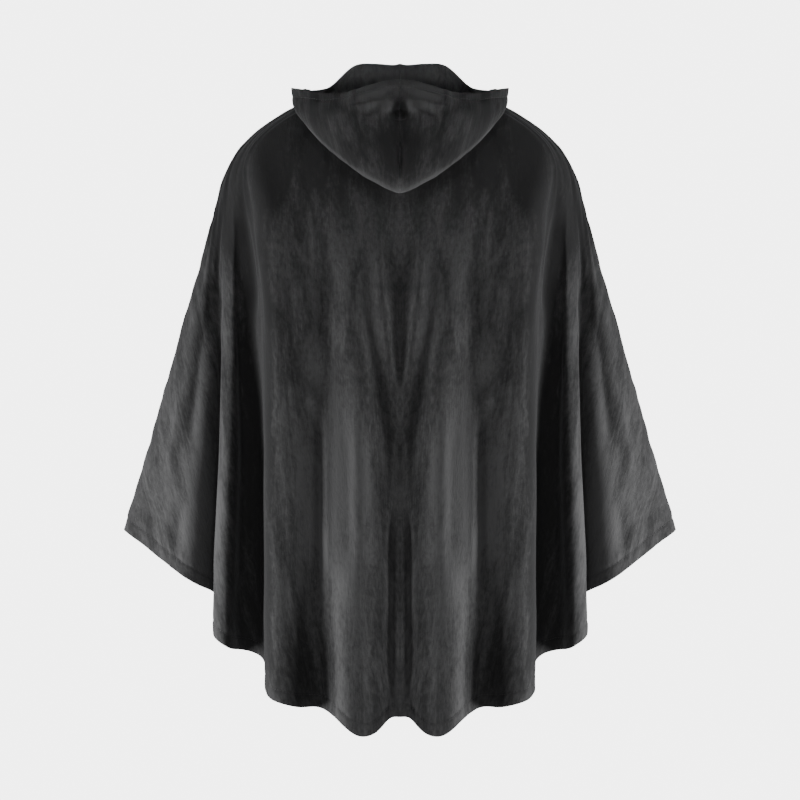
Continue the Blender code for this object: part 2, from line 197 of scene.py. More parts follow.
HOOD_CREASES = table(
    Crease,
    arch=(((0, -4), (14, -5), (26, -10), (46, -17), (82, -26)), 4, 4, 4),
    arch_under=(((0, -11), (12, -12), (24, -18), (40, -25)), -4, 4, 4),
    arch_fold=(((18, -20), (44, -30), (70, -36)), 3, 4, 4),
    fan=(((18, -28), (34, -37), (54, -46)), -3, 4, 4),
    dent=(((0, -36), (0, -52)), -11, 9, 9),
    streak=(((15, -20), (17, -42)), 4.5, 5, 4),
    diamond=(((34, -66), (12, -74), (0, -76)), -3, 16, 16),
    seam_low=(((0, -80), (0, -118)), -3, 5, 5),
    facet=(((60, 18), (50, 6), (44, -4)), 3.5, 4, 4),
    facet_side=(((50, 20), (42, 8), (36, 0)), -3.5, 6, 6),
    wing=(((120, -16), (96, -22), (72, -22)), -2, 6, 6),
    wing_ridge=(((116, -30), (92, -40), (62, -50)), 1.6, 10, 10),
    wing_low=(((84, -66), (56, -92), (28, -112)), -1.6, 8, 8),
)
# Painted light and shade in the velvet's colour: a soft patch round a point of the cloth as seen from behind
# or in front, with its reach across and down, in millimetres, and its tone, lighter where positive and darker
# where negative.
Patch = namedtuple("Patch", "x z wide tall tone")
# Painted shade on the shoulders, yoke, arm tops, shoulder blades, the panel's rim, the deep valley, the low
# hollow and the V; painted light on the lobe, the upper hollow and the inner arm.
BACK_PAINTED_SHADING = table(
    Patch,
    shoulder=(165, -75, 120, 75, -1.0),
    yoke=(60, -135, 90, 40, -0.4),
    arm_top=(228, -145, 52, 85, -1.4),
    blade=(85, -350, 30, 110, -0.2),
    lobe=(76, -560, 44, 220, 0.8),
    hollow=(125, -560, 30, 110, 0.4),
    hollow_low=(126, -800, 36, 70, -0.6),
    rim=(186, -500, 11, 380, -1.3),
    rim_top=(198, -330, 13, 90, -1.2),
    deep=(208, -560, 24, 330, -1.0),
    v_low=(37, -431, 9, 60, -0.8),
    arm_inner=(272, -600, 30, 110, 1.2),
)
# Painted shade on the shoulders and arm tops; painted light on the bust and the lobe.
FRONT_PAINTED_SHADING = table(
    Patch,
    shoulder=(150, -80, 120, 70, -0.9),
    arm_top=(235, -170, 40, 75, -0.5),
    bust=(80, -320, 60, 110, 0.3),
    lobe=(75, -650, 40, 200, 0.35),
)
# Painted light on the gathers and beside the pinch; painted shadow in the dent; painted shade along the low
# seam, on the diamond, the wings and the lower part.
HOOD_PAINTED_SHADING = table(
    Patch,
    gather=(24, -8, 60, 44, 0.9),
    dent=(0, -46, 12, 22, -3.0),
    pinch=(18, -29, 9, 12, 1.5),
    low_seam=(0, -114, 26, 16, -0.8),
    diamond=(0, -76, 38, 26, -0.9),
    wing=(104, -28, 50, 28, -1.0),
    lower=(70, -96, 56, 40, -0.6),
)
FOLD_HIGHLIGHT = 0.58  # the share of a hood rib at which a painted highlight runs along the lower fold's edge
FOLD_HIGHLIGHT_REACH = 0.02  # and how far on to either side of it
CREASE_POINTS = 28  # along each crease's line
CREASE_TAPER = 0.3  # the share of its length over which each end fades
CREASE_LIMIT = 0.035  # metres from its line, beyond which a crease moves nothing

# The rows beside a turned edge, as shares of the hem's depth: up to it on the face, back inside.
FACE_ROWS = (2.4, 1.9, 1.5, 1.25, 1.1, 1.0, 0.9, 0.75, 0.55, 0.36, 0.2)
INSIDE_ROWS = (0.3, 0.6, 0.85, 1.0)
TURN_RADIUS = 1.15  # of a turned edge, in layers of cloth
BEND_POINTS = 7  # round its half turn
STITCH_AT = FACE_ROWS.index(1.0)  # the stitches' row on the face
STITCH_INSIDE = -2  # and inside
STITCH_PROUD = 0.15  # how far a stitch stands out, as a share of its thickness
STITCH_DIP_REACH = 0.18  # of the hem's depth
PUCKER_AT, PUCKER_REACH = 0.5, 0.9  # of the hem's depth, from the turned edge
SEAM_PUCKER_AT, SEAM_PUCKER_REACH = 6 * MM, 12 * MM  # from the seam
FINE_RIPPLE, BROAD_RIPPLE, SEAM_RIPPLE = (0.011, 1), (0.023, 0.05), (0.018, 1)  # metres wide, long
HEM_SEED, EDGE_SEED, HOOD_SEED, SEAM_SEED = 11.0, 17.0, 31.0, 7.5

# Soft unevenness of the cloth: how wide and long its swells are, in metres, the seed of its noise, its
# share of the crumple, and how much more of it there is on the arms.
Grain = namedtuple("Grain", "wide long seed share on_arms")
PANEL_GRAINS = (Grain(0.055, 0.21, 1.3, 0.6, 0.5), Grain(0.024, 0.07, 4.1, 0.25, 0.6))
HOOD_GRAINS = (Grain(0.05, 0.08, 21.0, 0.5, 0), Grain(0.02, 0.03, 25.0, 0.3, 0))
ARM_REACH = 0.22  # metres from the arm's fold over which that fades
HOOD_STILL = 0.06  # the share of a rib, from the neck seam, over which the hood's relief rises

# The shares of the finer layers in the way that the pile lies, of the painted light and shade, and of the
# tufts in its tone.
MOTTLE, STROKES, PAINTED_SHADING, TUFTS = 0.3, 0.14, 0.5, 0.25
DARKER = 0.5  # the dark end of a material's colour, as a share of it

# A light: the setting for its power and its share of that, size, place and target in metres, and its
# spread in degrees.
Lamp = namedtuple("Lamp", "source share size place target spread")
LAMPS = {
    "side_light_1": Lamp("key", 1, (0.6, 0.9), (1.75, 0.35, -0.8), (0.1, 0.1, -0.68), 75),
    "side_light_-1": Lamp("key", 1, (0.6, 0.9), (-1.75, 0.35, -0.8), (-0.1, 0.1, -0.68), 75),
    "fill_light": Lamp("fill", 1, (1.2, 0.6), (0, 3.2, -1.0), (0, 0, -0.5), 180),
    "hood_light": Lamp("fill", 0.005, (0.3, 0.3), (0, 1.7, 1.7), (0, 0.1, 0.0), 14),
    "front_light": Lamp("fill", 1.6, (1.6, 1.6), (0, -3.6, 0.2), (0, 0, -0.4), 180),
}
ROOM_SEEN = 5.0  # how bright the room is to the camera
ROOM_LIGHT = 0.05  # and as a light

# One line of stitches along an edge.
Stitching = namedtuple("Stitching", "points normals")


def number(name, description, default, **limits):
    return FloatProperty(name=name, description=description, default=default, **limits)


def in_metres(name, description, default, **limits):
    """A length that a user would change, as a property."""
    return number(name, description, default, unit="LENGTH", precision=5, **limits)


def colour(name, description, default):
    return FloatVectorProperty(
        name=name, description=description, default=default, subtype="COLOR", size=3, min=0, max=1
    )


class CLOAK_PG_cloth(PropertyGroup):
    seam_lap: in_metres("Seam lap", "How far the hood's halves reach over their seam", 0.05 * MM, min=0)
    layer: in_metres("Layer", "Thickness of one layer of velvet with its pile", 1.0 * MM, min=0.0005)
    hem: in_metres("Hem", "From a turned edge to its line of stitches", 17 * MM, min=0.005)
    hood_hem: in_metres("Hood hem", "From the face edge to its line of stitches", 12 * MM, min=0.004)
    allowance: in_metres("Allowance", "Cloth beyond the stitches inside a hem", 3 * MM, min=0.001)
    seam_dip: in_metres("Seam dip", "How deep a seam sinks between its two panels", 1.3 * MM, min=0)
    seam_reach: in_metres("Seam reach", "How far the dip beside a seam reaches", 4 * MM, min=0.001)
    stitch_dip: in_metres("Stitch dip", "How deep a line of stitches pulls the cloth in", 0.9 * MM, min=0)
    pucker: in_metres("Pucker", "Height of the ripples along the stitches", 0.6 * MM, min=0)
    crumple: in_metres("Crumple", "Height of the soft unevenness of the hanging cloth", 1.5 * MM, min=0)


class CLOAK_PG_velvet(PropertyGroup):
    # The two ends of the velvet's colour, between which its random patches and its painted light and shade
    # choose.
    dark: colour("Pile laid away", "Colour where the pile leans away from the light", (0.010, 0.010, 0.0104))
    light: colour("Pile raised", "Colour where the pile stands up to the light", (0.044, 0.044, 0.045))
    backing: colour("Wrong side", "Colour of the knitted back of the cloth", (0.016, 0.016, 0.017))
    patch_width: in_metres("Patch width", "Width of the brushed patches", 26 * MM, min=0.002)
    patch_length: in_metres("Patch length", "Length of the brushed patches", 120 * MM, min=0.002)
    pile: in_metres("Pile", "Spacing of the pile's tufts", 0.7 * MM, min=0.0001)
    sheen: number("Sheen", "Strength of the pile's sheen", 0.08, min=0, max=1)
    sheen_spread: number("Sheen spread", "Roughness of the pile's sheen", 0.45, min=0, max=1)


class CLOAK_PG_thread(PropertyGroup):
    length: in_metres("Stitch", "Length of one stitch", 3.0 * MM, min=0.001)
    pitch: in_metres("Pitch", "From one stitch to the next", 4.0 * MM, min=0.001)
    width: in_metres("Thread", "Thickness of the thread", 0.5 * MM, min=0.0001)
    tint: colour("Thread colour", "Colour of the sewing thread", (0.012, 0.012, 0.0125))


class CLOAK_PG_stage(PropertyGroup):
    floor_drop: in_metres("Floor drop", "From the neck down to the floor", 1.42, min=1.0)
    floor_radius: in_metres("Floor radius", "Radius of the floor", 3.0, min=1.0)
    floor_tint: colour("Floor colour", "Colour of the floor", (0.80, 0.80, 0.80))
    camera_distance: in_metres("Camera distance", "From the camera to the neck's plane", 4.5, min=1.0)
    camera_height: in_metres("Camera height", "Height of the camera, level with the middle", -0.431)
    picture_width: in_metres("Picture width", "Width that the picture takes in", 1.12, min=0.1)
    key: number("Side lights", "Power of each side light", 14.0, min=0)
    fill: number("Fill light", "Power of the light by the camera", 34.0, min=0)


def add_object(name, data):
    thing = bpy.data.objects.new(name, data)
    bpy.context.scene.collection.objects.link(thing)
    return thing


def mesh_of(bm, name):
    """The mesh that a bmesh holds, which is then let go."""
    mesh = bpy.data.meshes.new(name)
    bm.to_mesh(mesh)
    bm.free()
    return mesh


def smooth_curve(knots, values):
    """The natural cubic spline through values, one for each knot, as a function of the parameter.

    A parameter with a row for each column of the values gives each column its own places.
    """
    knots = np.asarray(knots, float)
    values = np.asarray(values, float)
    steps = np.diff(knots)
    slopes = np.diff(values, axis=0) / steps.reshape((-1,) + (1,) * (values.ndim - 1))
    system = np.eye(len(knots))
    bends = np.zeros_like(values)
    for row in range(1, len(knots) - 1):
        system[row, row - 1] = steps[row - 1]
        system[row, row] = 2 * (steps[row - 1] + steps[row])
        system[row, row + 1] = steps[row]
        bends[row] = 6 * (slopes[row] - slopes[row - 1])
    bends = np.linalg.solve(system, bends.reshape(len(knots), -1)).reshape(values.shape)

    def curve(at):
        at = np.atleast_1d(np.asarray(at, float))
        left = np.clip(np.searchsorted(knots, at, side="right") - 1, 0, len(steps) - 1)
        if at.ndim == 1:
            low, high = left, left + 1
        else:
            column = np.arange(len(at))[:, None]
            low, high = (left, column), (left + 1, column)
        shape = at.shape + (1,) * (values.ndim - at.ndim)
        step = steps[left].reshape(shape)
        near = (at - knots[left]).reshape(shape)
        far = step - near
        return (
            (bends[low] * far**3 + bends[high] * near**3) / (6 * step)
            + (values[low] / step - bends[low] * step / 6) * far
            + (values[high] / step - bends[high] * step / 6) * near
        )

    return curve


def on_ring(ring, turn):
    """A point of a plain ring, turn degrees round from the centre back."""
    along = math.cos(math.radians(turn))
    back, front = (ring.back_y, ring.back_z, ring.bow), (ring.front_y, ring.front_z, 1.0)
    depth, low, bow = back if along > 0 else front
    across = abs(math.sin(math.radians(turn))) ** bow
    side = math.copysign(ring.seam_x, turn)
    return side * across, depth * abs(along) ** bow, low + (ring.seam_z - low) * across**2


def fold_line(fold):
    """The points of one fold line at the seven levels."""
    wide = (fold.high_x, fold.mid_x, fold.low_x, fold.hem_x)
    deep = (fold.high_y, fold.mid_y, fold.low_y, fold.hem_y)
    heights = np.interp(LEVELS[3:], (LEVELS[3], LEVELS[-1]), (fold.high_z, fold.hem_z))
    return [on_ring(ring, fold.turn) for ring in PLAIN_RINGS] + list(zip(wide, deep, heights))


class Body:
    """The cloth of the back and fronts as one surface, read by place across and share of the way down."""

    step = (0.5 * MM, 1e-3)
    facing = -1  # the way that the cloth's face looks, against the turn from down to across

    def __init__(self):
        half = list(BACK_FOLDS.values()) + [ARM_FOLD] + list(FRONT_FOLDS.values())
        lines = np.array([fold_line(fold) for fold in half]) * MM
        count, arm = len(half), len(BACK_FOLDS)
        lines = np.concatenate([lines[:0:-1] * np.array([-1, 1, 1]), lines])
        spans = np.linalg.norm(np.diff(lines[:, 3:], axis=0), axis=2).mean(axis=1)
        places = np.concatenate([[0], np.cumsum(spans)])
        self.across = smooth_curve(places, lines)
        self.start, self.centre, self.end = places[0], places[count - 1], places[-1]
        self.right_seam, self.left_seam = places[count - 1 - arm], places[count - 1 + arm]

    def points(self, u, v):
        levels = self.across(np.ravel(u)).transpose(1, 0, 2)
        return smooth_curve(LEVELS, levels)(np.ravel(v)[:, None]).reshape(np.shape(u) + (3,))


class Hood:
    """The hood's left half, read by degrees round the neck and share along a rib."""

    step = (0.2, 1e-3)
    facing = 1

    def __init__(self, body):
        rises = []
        for rib in HOOD_RIBS:
            passed = np.array(rib[1:]) * MM
            rises.append(np.vstack([np.zeros(3), passed - self.seat(rib.turn)]))
        self.across = smooth_curve([rib.turn for rib in HOOD_RIBS], rises)
        columns, rows, reach = 161, 41, 0.5  # the hood lies on the upper half of the body
        u = np.linspace(body.start, body.end, columns)[:, None] + np.zeros(rows)
        v = np.zeros((columns, 1)) + np.linspace(0, reach, rows)
        self.skin = search_tree(body.points(u, v))

    def seat(self, turn):
        """The point of the neck seam where the hood starts, just clear of the neckline's edge."""
        x, y, z = on_ring(NECKLINE, turn)
        outward = Vector((x, y, 0)).normalized() * SEAT_OUT
        return np.array([x + outward.x, y + outward.y, z + SEAT_UP]) * MM

    def points(self, u, v):
        turns, shares = np.ravel(u), np.ravel(v)
        knots = self.across(turns).transpose(1, 0, 2)
        rises = smooth_curve(RIB_KNOTS, knots)(shares[:, None])[:, 0]
        return self.lifted(rises, turns, shares).reshape(np.shape(u) + (3,))

    def lifted(self, rises, turns, shares):
        """Each point, moved out until its wall lies clear of the cloth below."""
        points = []
        for rise, turn, share in zip(rises, turns, shares):
            point = Vector(rise + self.seat(turn))
            near, normal, _, _ = self.skin.find_nearest(point)
            clear = HOOD_CLEAR * min(1, max(0, share) / HOOD_CLEAR_FROM)
            need = WALL + 2 * SEAM_GAP + clear - (point - near).dot(normal)
            points.append(point + normal * max(0, need))
        return np.array(points)


def search_tree(points):
    """A grid of outer points as a search tree, its faces pointing outwards."""
    columns, rows = points.shape[:2]
    faces = [
        (i * rows + j, (i + 1) * rows + j, (i + 1) * rows + j + 1, i * rows + j + 1)
        for i in range(columns - 1)
        for j in range(rows - 1)
    ]
    return BVHTree.FromPolygons([Vector(point) for point in points.reshape(-1, 3)], faces)


def normals_at(surface, u, v):
    """Unit normals of a surface, by central differences."""
    du, dv = surface.step
    side = surface.points(u + du, v) - surface.points(u - du, v)
    drop = surface.points(u, v + dv) - surface.points(u, v - dv)
    normals = np.cross(drop, side) * surface.facing
    return normals / np.linalg.norm(normals, axis=-1, keepdims=True)


def turned_edge(cloth, depth):
    """Distances from a turned edge and depths behind the face, from the plain cloth to the raw edge."""
    radius = TURN_RADIUS * cloth.layer
    plain = depth * np.array(FACE_ROWS)
    bend = np.radians(np.linspace(0, 180, BEND_POINTS))
    inside = np.append(depth * np.array(INSIDE_ROWS), depth + cloth.allowance)
    distance = np.concatenate([plain, radius * (1 - np.sin(bend)), inside])
    behind = np.concatenate([0 * plain, radius * (1 - np.cos(bend)), 0 * inside + 2 * radius])
    return distance, behind


def soft_bell(distance, reach):
    return np.exp(-((distance / reach) ** 2))


def fade(share):
    """0 at both ends of a line and 1 along its middle, smoothly."""
    rise = np.clip(np.minimum(share, 1 - share) / CREASE_TAPER, 0, 1)
    return rise * rise * (3 - 2 * rise)


def lengths_along(points, axis=0):
    """Lengths along a line, or along the rows or columns of a grid, from its first point."""
    steps = np.linalg.norm(np.diff(points, axis=axis), axis=-1)
    start = np.zeros_like(np.take(steps, [0], axis=axis))
    return np.cumsum(np.concatenate([start, steps], axis=axis), axis=axis)


def crease_height(crease, points, tree, side):
    """How far one crease moves each point out, on the half of the cloth that its line is cast on."""
    line = np.array(crease.line, float) * MM
    knots = lengths_along(line)
    shares = np.linspace(0, 1, CREASE_POINTS)
    path = smooth_curve(knots, line)(shares * knots[-1])
    cast, along = [], []
    for share, (x, z) in zip(shares, path):
        hit = tree.ray_cast(Vector((x, side, z)), Vector((0, -side, 0)))[0]
        if hit is not None:
            cast.append(hit)
            along.append(share)
    if not cast:
        raise ValueError(f"no cloth lies under the crease {crease.line}")
    cast, along = np.array(cast), np.array(along)
    flat = points.reshape(-1, 3)
    near = np.full(len(flat), np.inf)
    share = np.zeros(len(flat))
    spot = np.zeros((len(flat), 3))
    for start, end, low, high in zip(cast[:-1], cast[1:], along[:-1], along[1:]):
        way = end - start
        part = np.clip((flat - start) @ way / max(way @ way, 1e-12), 0, 1)
        place = start + part[:, None] * way
        distance = np.linalg.norm(flat - place, axis=1)
        closer = distance < near
        near[closer] = distance[closer]
        share[closer] = (low + (high - low) * part)[closer]
        spot[closer] = place[closer]
    outer = np.abs(flat[:, 0]) > np.abs(spot[:, 0])
    reach = np.where(outer, crease.outer, crease.inner) * MM
    height = crease.lift * MM * soft_bell(near, reach) * fade(share)
    height[near > CREASE_LIMIT] = 0
    return height.reshape(points.shape[:2])


def mirrored(crease):
    """The same crease on the wearer's right."""
    return crease._replace(line=tuple((-x, z) for x, z in crease.line))


def creases_height(creases, points, tree, side, both_halves):
    """All creases together, on both halves where the piece spans both."""
    total = np.zeros(points.shape[:2])
    for crease in creases.values():
        total += crease_height(crease, points, tree, side)
        if both_halves and crease.line[0][0] > 0:
            total += crease_height(mirrored(crease), points, tree, side)
    return total


def painted_shading_at(patches, points):
    """The painted light and shade at each point, from darkest (-1) to lightest (1)."""
    x, z = np.abs(points[..., 0]) / MM, points[..., 2] / MM
    tones = [
        patch.tone * soft_bell(np.hypot((x - patch.x) / patch.wide, (z - patch.z) / patch.tall), 1)
        for patch in patches.values()
    ]
    return np.clip(sum(tones), -1, 1)


def uneven(across, down, width, length, seed):
    """A smooth random height between about -1 and 1, longer down the cloth than across it."""
    places = zip(np.ravel(across) / width, np.ravel(down) / length)
    heights = [noise.noise(Vector((a, b, seed))) for a, b in places]
    return 2 * np.reshape(heights, np.shape(across))


def crumples(grains, across, down, arm):
    """The grains' unevenness together; arm is 1 on the arm's fold and fades to 0 away from it."""
    return sum(
        (grain.share + grain.on_arms * arm) * uneven(across, down, grain.wide, grain.long, grain.seed)
        for grain in grains
    )


def cloth_mesh(points, across, down, painted_shading, flip=False):
    """A grid of points as a mesh with a UV map in metres of cloth, its faces pointing outwards."""
    columns, rows = points.shape[:2]
    bm = bmesh.new()
    bmesh.ops.create_grid(bm, x_segments=columns - 1, y_segments=rows - 1, size=1)
    bm.verts.ensure_lookup_table()
    order = sorted(bm.verts, key=lambda v: (round(v.co.x * (columns - 1)), round(v.co.y * (rows - 1))))
    for vert, point in zip(order, points.reshape(-1, 3)):
        vert.co = point
    uv = bm.loops.layers.uv.new("cloth")
    spot = dict(zip(order, zip(across.ravel(), down.ravel())))
    for face in bm.faces:
        for loop in face.loops:
            loop[uv].uv = spot[loop.vert]
    by_index = np.empty(len(order))
    by_index[[vert.index for vert in order]] = painted_shading.ravel()
    if flip:
        bmesh.ops.reverse_faces(bm, faces=bm.faces)
    mesh = mesh_of(bm, "cloth")
    # the painted light and shade, kept on each point for the velvet's colour to read
    mesh.attributes.new("painted_shading", "FLOAT", "POINT").data.foreach_set("value", by_index)
    mesh.shade_smooth()
    return mesh


def add_cloth(node, mesh, cloth, inside):
    """The mesh as cloth in the place of a solid: velvet outside, another material inside."""
    piece = add_object(node + "_velvet", mesh)
    mesh.name = piece.name
    mesh.materials.append(velvet())
    mesh.materials.append(inside)
    wall = piece.modifiers.new("wall", "SOLIDIFY")
    wall.thickness = cloth.layer
    wall.offset = -1
    wall.material_offset = 1
    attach(piece, "root")
    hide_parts(node)
    return piece


def panel_columns(body, start, end, count, rows_v, cloth, turned):
    """Places across a body panel, a row for each column, and how far each column lies behind the face.

    turned is 1 where the panel's end is a turned edge, -1 where its start is, and 0 for neither.
    """
    if not turned:
        places = np.linspace(start, end, count + 1)
        return places[:, None] + np.zeros(len(rows_v)), np.zeros(count + 1)
    far, edge = (start, end) if turned > 0 else (end, start)
    at = np.full(len(rows_v), edge)
    du = body.step[0]
    gap = body.points(at + du, rows_v) - body.points(at - du, rows_v)
    stretch = np.linalg.norm(gap, axis=1) / (2 * du)
    distance, behind = turned_edge(cloth, cloth.hem)
    near_u = edge - turned * distance[:, None] / stretch
    shares = np.linspace(0, 1, count + 1)[:-1, None]
    plain = far + (near_u[0] - far) * shares
    places = np.concatenate([plain, near_u])
    return places[::turned], np.concatenate([np.zeros(count), behind])[::turned]


def hem_rows(surface, u, count, cloth, depth):
    """Shares down each column, closer at the hem, and how far each row lies behind the face."""
    share = 0.02  # the last part of a column, over which its stretch is measured
    last = surface.points(u, np.ones_like(u)) - surface.points(u, np.ones_like(u) - share)
    length = np.linalg.norm(last, axis=-1) / share
    distance, behind = turned_edge(cloth, depth)
    hem = 1 - distance / length[:, None]
    even = np.linspace(0, 1, count + 1)[:-1]
    plain = even * hem[:, :1]
    return np.concatenate([plain, hem], axis=1), np.concatenate([np.zeros(count), behind])


def stitch_ripples(along, distance, depth, cloth, seed):
    """The dip of a line of stitches, and the puckers that it gathers, by distance from the turned edge."""
    dip = -cloth.stitch_dip * soft_bell(distance - depth, STITCH_DIP_REACH * depth)
    ripple = uneven(along, 0 * along, *FINE_RIPPLE, seed)
    ripple += uneven(along, distance, *BROAD_RIPPLE, seed + 3)
    return dip + cloth.pucker * ripple * soft_bell(distance - PUCKER_AT * depth, PUCKER_REACH * depth)


def stitching(points, normals, plain):
    """The stitches by the last edge of a grid: their line on the face, and where they come out inside.

    plain is the number of lines of the grid before those that belong to the turned edge.
    """
    face, inside = plain + STITCH_AT, STITCH_INSIDE
    return [Stitching(points[face], normals[face]), Stitching(points[inside], -normals[inside])]


def make_panel(body, node, start, end, size, turned, creases, side, cut):
    """One body panel, from start to end across, with its creases, seams, turned edges and stitches."""
    cloth = bpy.context.scene.cloak_cloth
    columns, rows = size
    guide, _ = hem_rows(body, np.linspace(start, end, GUIDES), rows, cloth, cloth.hem)
    u, behind_u = panel_columns(body, start, end, columns, guide.mean(axis=0), cloth, turned)
    v, behind_v = hem_rows(body, u[:, (rows + 1) // 2], rows, cloth, cloth.hem)
    normals = normals_at(body, u, v)
    plain = body.points(u, v) + normals * WALL
    face_i = np.flatnonzero(behind_u == 0)
    face_j = np.flatnonzero(behind_v == 0)
    tree = search_tree(plain[np.ix_(face_i, face_j)])
    height = creases_height(creases, plain, tree, side, both_halves=not turned)
    across = np.abs(u - body.centre)
    down = lengths_along(plain, 1)
    to_hem = down[:, face_j[-1]][:, None] - down
    span = lengths_along(plain, 0)
    for edge, place in ((0, start), (-1, end)):
        if place in (body.right_seam, body.left_seam):
            distance = np.abs(span - span[edge])
            height -= cloth.seam_dip * soft_bell(distance, cloth.seam_reach)
            ripple = uneven(down, 0 * down, *SEAM_RIPPLE, SEAM_SEED)
            height += cloth.pucker * ripple * soft_bell(distance - SEAM_PUCKER_AT, SEAM_PUCKER_REACH)
    arm = soft_bell(across - abs(body.left_seam - body.centre), ARM_REACH)
    height += cloth.crumple * crumples(PANEL_GRAINS, across, down, arm)
    height += stitch_ripples(span, np.abs(to_hem), cloth.hem, cloth, HEM_SEED)
    if turned:
        edge = face_i[-1 if turned > 0 else 0]
        height += stitch_ripples(down, np.abs(span - span[edge]), cloth.hem, cloth, EDGE_SEED)
    points = plain + normals * (height - behind_u[:, None] - behind_v)[..., None]
    middle = np.argmin(np.abs(u[:, 0] - body.centre))
    # painted light and shade for the velvet's colour, from the back's or the fronts' patches
    painted_shading = painted_shading_at(BACK_PAINTED_SHADING if side > 0 else FRONT_PAINTED_SHADING, plain)
    mesh = cloth_mesh(points, np.abs(span - span[middle]), down, painted_shading)
    piece = add_cloth(node, mesh, cloth, backing())
    lines = stitching(points[face_i].swapaxes(0, 1), normals[face_i].swapaxes(0, 1), rows)
    if turned:
        lines += stitching(points[::turned, face_j], normals[::turned, face_j], columns)
    thread = make_stitches(piece.name + "_stitches", lines)


def make_hood_half(node, hood, side):
    """One half of the hood, lying on the back, with its creases and turned face edge."""
    cloth = bpy.context.scene.cloak_cloth
    columns, rows = HOOD_GRID
    turns = np.linspace(0, HOOD_RIBS[-1].turn, columns + 1)
    v, behind = hem_rows(hood, turns, rows, cloth, cloth.hood_hem)
    u = turns[:, None] + np.zeros(v.shape[1])
    plain = hood.points(u, v)
    plain[0, :, 0] = 0
    normals = normals_at(hood, u, v)
    normals[0, :, 0] = 0
    normals /= np.linalg.norm(normals, axis=2, keepdims=True)
    face_j = np.flatnonzero(behind == 0)
    tree = search_tree(plain[:, face_j])
    height = creases_height(HOOD_CREASES, plain, tree, 1, both_halves=False)
    span, down = lengths_along(plain, 0), lengths_along(plain, 1)
    to_edge = np.abs(down[:, face_j[-1]][:, None] - down)
    height -= cloth.seam_dip * soft_bell(span, cloth.seam_reach)
    height += cloth.crumple * crumples(HOOD_GRAINS, span, down, 0)
    height *= np.clip(v / HOOD_STILL, 0, 1)
    height += stitch_ripples(span, to_edge, cloth.hood_hem, cloth, HOOD_SEED)
    points = plain + normals * (height - behind)[..., None]
    flip = np.array([side, 1, 1])
    points = points * flip - np.array([side * cloth.seam_lap, 0, 0])
    normals = normals * flip
    # a painted highlight along the lower fold's edge, on top of the hood's painted light and shade
    rim = soft_bell(np.abs(v - FOLD_HIGHLIGHT), FOLD_HIGHLIGHT_REACH)
    painted_shading = np.clip(painted_shading_at(HOOD_PAINTED_SHADING, points) + rim, -1, 1)
    mesh = cloth_mesh(points, span, down, painted_shading, flip=side > 0)
    piece = add_cloth(node, mesh, cloth, velvet())
    lines = stitching(points.swapaxes(0, 1), normals.swapaxes(0, 1), rows)
    thread = make_stitches(piece.name + "_stitches", lines)


def make_stitches(name, lines):
    """Short raised stitches at an even pitch along each line, as one mesh."""
    thread = bpy.context.scene.cloak_thread
    seed = bmesh.new()
    bmesh.ops.create_uvsphere(seed, u_segments=6, v_segments=4, radius=1)
    shape = np.array([v.co for v in seed.verts])
    seed.verts.ensure_lookup_table()
    faces = [[v.index for v in face.verts] for face in seed.faces]
    seed.free()
    shape *= np.array([thread.width / 2, thread.width / 2, thread.length / 2])
    points, polygons = [], []
    for line in lines:
        lengths = lengths_along(line.points)
        stops = np.arange(thread.pitch, lengths[-1] - thread.pitch / 2, thread.pitch)
        for stop in stops:
            last = min(np.searchsorted(lengths, stop), len(lengths) - 1)
            way = line.points[last] - line.points[last - 1]
            share = (stop - lengths[last - 1]) / max(lengths[last] - lengths[last - 1], 1e-9)
            place = line.points[last - 1] + way * share
            along = Vector(way).normalized()
            out = Vector(line.normals[last])
            aside = along.cross(out).normalized()
            turn = Matrix((aside, aside.cross(along) * -1, along)).transposed()
            base = len(points)
            at = Vector(place) + out * thread.width * STITCH_PROUD
            points.extend(at + turn @ Vector(corner) for corner in shape)
            polygons.extend([[base + i for i in face] for face in faces])
    mesh = bpy.data.meshes.new(name)
    mesh.from_pydata(points, [], polygons)
    bm = bmesh.new()
    bm.from_mesh(mesh)
    bmesh.ops.recalc_face_normals(bm, faces=bm.faces)
    bm.to_mesh(mesh)
    bm.free()
    mesh.shade_smooth()
    mesh.materials.append(sewing_thread())
    piece = add_object(name, mesh)
    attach(piece, "root")
    return piece


